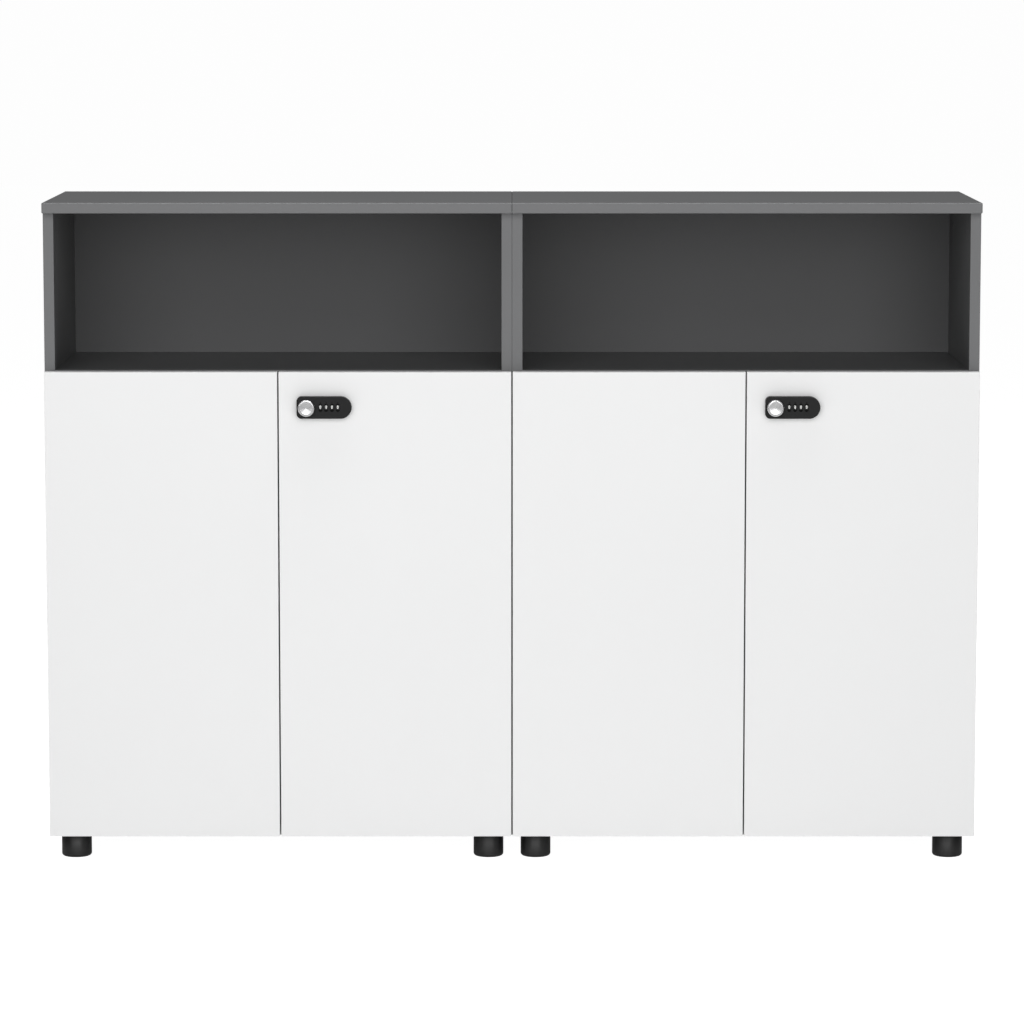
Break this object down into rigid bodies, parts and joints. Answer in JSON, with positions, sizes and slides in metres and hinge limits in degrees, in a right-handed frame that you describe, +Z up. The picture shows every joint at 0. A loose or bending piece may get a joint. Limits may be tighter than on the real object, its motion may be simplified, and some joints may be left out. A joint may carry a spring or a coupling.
{
  "type": "office storage cabinet",
  "caption": "Low grey office cabinet in two joined units, each with an open niche over a pair of white hinged doors closed by a black dial combination lock, on round feet.",
  "frame": {"origin": "middle of the bounding box's base, on the floor", "axes": "+Z up, front with the doors towards -Y, +X to the right as seen from the front"},
  "size_m": [1.6, 0.426, 1.14],
  "materials": {
    "grey_laminate": "matt grey laminate",
    "white_laminate": "matt white laminate",
    "black_plastic": "satin black",
    "bumper_rubber": "clear-grey rubber",
    "lock_black": "satin black",
    "dial_black": "gloss black",
    "knob_satin": "satin chrome",
    "zinc_steel": "bright zinc"
  },
  "bodies": {
    "carcass": {"left_unit_top_panel": "grey_laminate", "left_unit_left_side_panel": "grey_laminate", "left_unit_right_side_panel": "grey_laminate", "left_unit_fixed_shelf": "grey_laminate", "left_unit_bottom_panel": "grey_laminate", "left_unit_back_panel": "grey_laminate", "left_unit_adjustable_shelf": "grey_laminate", "right_unit_top_panel": "grey_laminate", "right_unit_left_side_panel": "grey_laminate", "right_unit_right_side_panel": "grey_laminate", "right_unit_fixed_shelf": "grey_laminate", "right_unit_bottom_panel": "grey_laminate", "right_unit_back_panel": "grey_laminate", "right_unit_adjustable_shelf": "grey_laminate", "cam_bolts": "zinc_steel", "cam_fittings": "zinc_steel", "door_bumpers": "bumper_rubber", "feet": "black_plastic", "foot_screws": "zinc_steel", "hinge_arms": "zinc_steel", "hinge_plates": "zinc_steel", "joining_screws": "zinc_steel", "lock_strikes": "zinc_steel", "shelf_pins": "zinc_steel"},
    "left_unit_left_door": {"left_unit_left_door": "white_laminate", "left_unit_left_door_hinge_cups": "zinc_steel", "left_unit_surface_bolt_guide": "zinc_steel"},
    "left_unit_left_door_outer_link": {"left_unit_left_door_outer_links": "zinc_steel"},
    "left_unit_left_door_inner_link": {"left_unit_left_door_inner_links": "zinc_steel"},
    "left_unit_right_door": {"left_unit_right_door": "white_laminate", "left_unit_right_door_hinge_cups": "zinc_steel", "left_unit_lock_housing": "lock_black", "left_unit_lock_clamp_plate": "zinc_steel"},
    "left_unit_right_door_outer_link": {"left_unit_right_door_outer_links": "zinc_steel"},
    "left_unit_right_door_inner_link": {"left_unit_right_door_inner_links": "zinc_steel"},
    "left_unit_surface_bolt": {"left_unit_surface_bolt": "zinc_steel"},
    "left_unit_lock_knob": {"left_unit_lock_knob": "knob_satin", "left_unit_lock_cam": "zinc_steel"},
    "left_unit_lock_dial_1": {"left_unit_lock_dial_1": "dial_black"},
    "left_unit_lock_dial_2": {"left_unit_lock_dial_2": "dial_black"},
    "left_unit_lock_dial_3": {"left_unit_lock_dial_3": "dial_black"},
    "left_unit_lock_dial_4": {"left_unit_lock_dial_4": "dial_black"},
    "right_unit_left_door": {"right_unit_left_door": "white_laminate", "right_unit_left_door_hinge_cups": "zinc_steel", "right_unit_surface_bolt_guide": "zinc_steel"},
    "right_unit_left_door_outer_link": {"right_unit_left_door_outer_links": "zinc_steel"},
    "right_unit_left_door_inner_link": {"right_unit_left_door_inner_links": "zinc_steel"},
    "right_unit_right_door": {"right_unit_right_door": "white_laminate", "right_unit_right_door_hinge_cups": "zinc_steel", "right_unit_lock_housing": "lock_black", "right_unit_lock_clamp_plate": "zinc_steel"},
    "right_unit_right_door_outer_link": {"right_unit_right_door_outer_links": "zinc_steel"},
    "right_unit_right_door_inner_link": {"right_unit_right_door_inner_links": "zinc_steel"},
    "right_unit_surface_bolt": {"right_unit_surface_bolt": "zinc_steel"},
    "right_unit_lock_knob": {"right_unit_lock_knob": "knob_satin", "right_unit_lock_cam": "zinc_steel"},
    "right_unit_lock_dial_1": {"right_unit_lock_dial_1": "dial_black"},
    "right_unit_lock_dial_2": {"right_unit_lock_dial_2": "dial_black"},
    "right_unit_lock_dial_3": {"right_unit_lock_dial_3": "dial_black"},
    "right_unit_lock_dial_4": {"right_unit_lock_dial_4": "dial_black"}
  },
  "joints": [
    {"name": "left_unit_left_door_outer_link_turn", "type": "hinge", "parent": "carcass", "child": "left_unit_left_door_outer_link", "pos_m": [-0.778, -0.17075, 0.44875], "axis": [0, 0, -1], "range_deg": [0, 62]},
    {"name": "left_unit_left_door_inner_link_turn", "type": "hinge", "parent": "left_unit_left_door_outer_link", "child": "left_unit_left_door_inner_link", "pos_m": [-0.748, -0.15875, 0.44875], "axis": [0, 0, -1], "range_deg": [-62, 0]},
    {"name": "left_unit_left_door_swing", "type": "hinge", "parent": "left_unit_left_door_inner_link", "child": "left_unit_left_door", "pos_m": [-0.7815, -0.17675, 0.44875], "axis": [0, 0, -1], "range_deg": [0, 100]},
    {"name": "left_unit_right_door_outer_link_turn", "type": "hinge", "parent": "carcass", "child": "left_unit_right_door_outer_link", "pos_m": [-0.022, -0.17075, 0.44875], "axis": [0, 0, 1], "range_deg": [0, 54.56]},
    {"name": "left_unit_right_door_inner_link_turn", "type": "hinge", "parent": "left_unit_right_door_outer_link", "child": "left_unit_right_door_inner_link", "pos_m": [-0.052, -0.15875, 0.44875], "axis": [0, 0, 1], "range_deg": [-54.56, 0]},
    {"name": "left_unit_right_door_swing", "type": "hinge", "parent": "left_unit_right_door_inner_link", "child": "left_unit_right_door", "pos_m": [-0.0185, -0.17675, 0.44875], "axis": [0, 0, 1], "range_deg": [0, 88]},
    {"name": "left_unit_surface_bolt_slide", "type": "slide", "parent": "left_unit_left_door", "child": "left_unit_surface_bolt", "axis": [0, 0, 1], "range_m": [0, 0.012]},
    {"name": "left_unit_lock_knob_turn", "type": "hinge", "parent": "left_unit_right_door", "child": "left_unit_lock_knob", "pos_m": [-0.35075, -0.187, 0.7915], "axis": [0, -1, 0], "range_deg": [0, 90]},
    {"name": "left_unit_lock_dial_1_turn", "type": "hinge", "parent": "left_unit_right_door", "child": "left_unit_lock_dial_1", "pos_m": [-0.32695, -0.1867, 0.7915], "axis": [1, 0, 0], "continuous": true},
    {"name": "left_unit_lock_dial_2_turn", "type": "hinge", "parent": "left_unit_right_door", "child": "left_unit_lock_dial_2", "pos_m": [-0.31705, -0.1867, 0.7915], "axis": [1, 0, 0], "continuous": true},
    {"name": "left_unit_lock_dial_3_turn", "type": "hinge", "parent": "left_unit_right_door", "child": "left_unit_lock_dial_3", "pos_m": [-0.30715, -0.1867, 0.7915], "axis": [1, 0, 0], "continuous": true},
    {"name": "left_unit_lock_dial_4_turn", "type": "hinge", "parent": "left_unit_right_door", "child": "left_unit_lock_dial_4", "pos_m": [-0.29725, -0.1867, 0.7915], "axis": [1, 0, 0], "continuous": true},
    {"name": "right_unit_left_door_outer_link_turn", "type": "hinge", "parent": "carcass", "child": "right_unit_left_door_outer_link", "pos_m": [0.022, -0.17075, 0.44875], "axis": [0, 0, -1], "range_deg": [0, 54.56]},
    {"name": "right_unit_left_door_inner_link_turn", "type": "hinge", "parent": "right_unit_left_door_outer_link", "child": "right_unit_left_door_inner_link", "pos_m": [0.052, -0.15875, 0.44875], "axis": [0, 0, -1], "range_deg": [-54.56, 0]},
    {"name": "right_unit_left_door_swing", "type": "hinge", "parent": "right_unit_left_door_inner_link", "child": "right_unit_left_door", "pos_m": [0.0185, -0.17675, 0.44875], "axis": [0, 0, -1], "range_deg": [0, 88]},
    {"name": "right_unit_right_door_outer_link_turn", "type": "hinge", "parent": "carcass", "child": "right_unit_right_door_outer_link", "pos_m": [0.778, -0.17075, 0.44875], "axis": [0, 0, 1], "range_deg": [0, 62]},
    {"name": "right_unit_right_door_inner_link_turn", "type": "hinge", "parent": "right_unit_right_door_outer_link", "child": "right_unit_right_door_inner_link", "pos_m": [0.748, -0.15875, 0.44875], "axis": [0, 0, 1], "range_deg": [-62, 0]},
    {"name": "right_unit_right_door_swing", "type": "hinge", "parent": "right_unit_right_door_inner_link", "child": "right_unit_right_door", "pos_m": [0.7815, -0.17675, 0.44875], "axis": [0, 0, 1], "range_deg": [0, 100]},
    {"name": "right_unit_surface_bolt_slide", "type": "slide", "parent": "right_unit_left_door", "child": "right_unit_surface_bolt", "axis": [0, 0, 1], "range_m": [0, 0.012]},
    {"name": "right_unit_lock_knob_turn", "type": "hinge", "parent": "right_unit_right_door", "child": "right_unit_lock_knob", "pos_m": [0.44925, -0.187, 0.7915], "axis": [0, -1, 0], "range_deg": [0, 90]},
    {"name": "right_unit_lock_dial_1_turn", "type": "hinge", "parent": "right_unit_right_door", "child": "right_unit_lock_dial_1", "pos_m": [0.47305, -0.1867, 0.7915], "axis": [1, 0, 0], "continuous": true},
    {"name": "right_unit_lock_dial_2_turn", "type": "hinge", "parent": "right_unit_right_door", "child": "right_unit_lock_dial_2", "pos_m": [0.48295, -0.1867, 0.7915], "axis": [1, 0, 0], "continuous": true},
    {"name": "right_unit_lock_dial_3_turn", "type": "hinge", "parent": "right_unit_right_door", "child": "right_unit_lock_dial_3", "pos_m": [0.49285, -0.1867, 0.7915], "axis": [1, 0, 0], "continuous": true},
    {"name": "right_unit_lock_dial_4_turn", "type": "hinge", "parent": "right_unit_right_door", "child": "right_unit_lock_dial_4", "pos_m": [0.50275, -0.1867, 0.7915], "axis": [1, 0, 0], "continuous": true}
  ],
  "couplings": [
    {"joint": "left_unit_left_door_outer_link_turn", "follows": "left_unit_left_door_swing", "ratio": 0.62},
    {"joint": "left_unit_left_door_inner_link_turn", "follows": "left_unit_left_door_swing", "ratio": -0.62},
    {"joint": "left_unit_right_door_outer_link_turn", "follows": "left_unit_right_door_swing", "ratio": 0.62},
    {"joint": "left_unit_right_door_inner_link_turn", "follows": "left_unit_right_door_swing", "ratio": -0.62},
    {"joint": "right_unit_left_door_outer_link_turn", "follows": "right_unit_left_door_swing", "ratio": 0.62},
    {"joint": "right_unit_left_door_inner_link_turn", "follows": "right_unit_left_door_swing", "ratio": -0.62},
    {"joint": "right_unit_right_door_outer_link_turn", "follows": "right_unit_right_door_swing", "ratio": 0.62},
    {"joint": "right_unit_right_door_inner_link_turn", "follows": "right_unit_right_door_swing", "ratio": -0.62}
  ]
}
